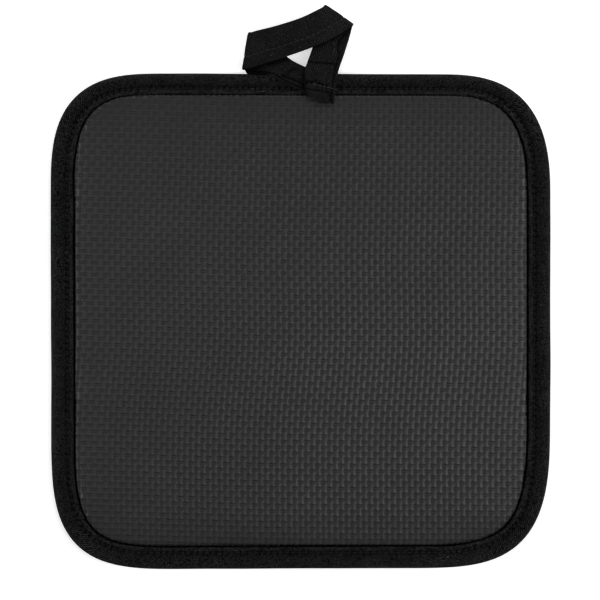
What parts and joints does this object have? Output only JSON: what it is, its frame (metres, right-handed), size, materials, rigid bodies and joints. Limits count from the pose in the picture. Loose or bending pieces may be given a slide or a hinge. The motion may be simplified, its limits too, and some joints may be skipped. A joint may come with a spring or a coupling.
{
  "type": "pot holder",
  "caption": "Square padded pot holder with rounded corners, an embossed heat-resistant rubber face, a bound edge and a folded hanging loop.",
  "frame": {"origin": "centre of the panel's flat underside, which lies on the surface", "axes": "+Z out of the embossed face, +Y towards the top edge, which carries the hanging loop, +X towards the right as one looks at the face"},
  "size_m": [0.203, 0.2291, 0.0078],
  "materials": {
    "panel": "satin black foam-backed rubber, embossed with a basket weave of small raised bars",
    "binding": "matte black twill bias tape, stitched through in black thread",
    "loop_tape": "matte black twill bias tape folded in half and edge-stitched"
  },
  "bodies": {
    "root": {"panel": "panel", "binding": "binding", "hanging_loop": "loop_tape"}
  },
  "joints": []
}
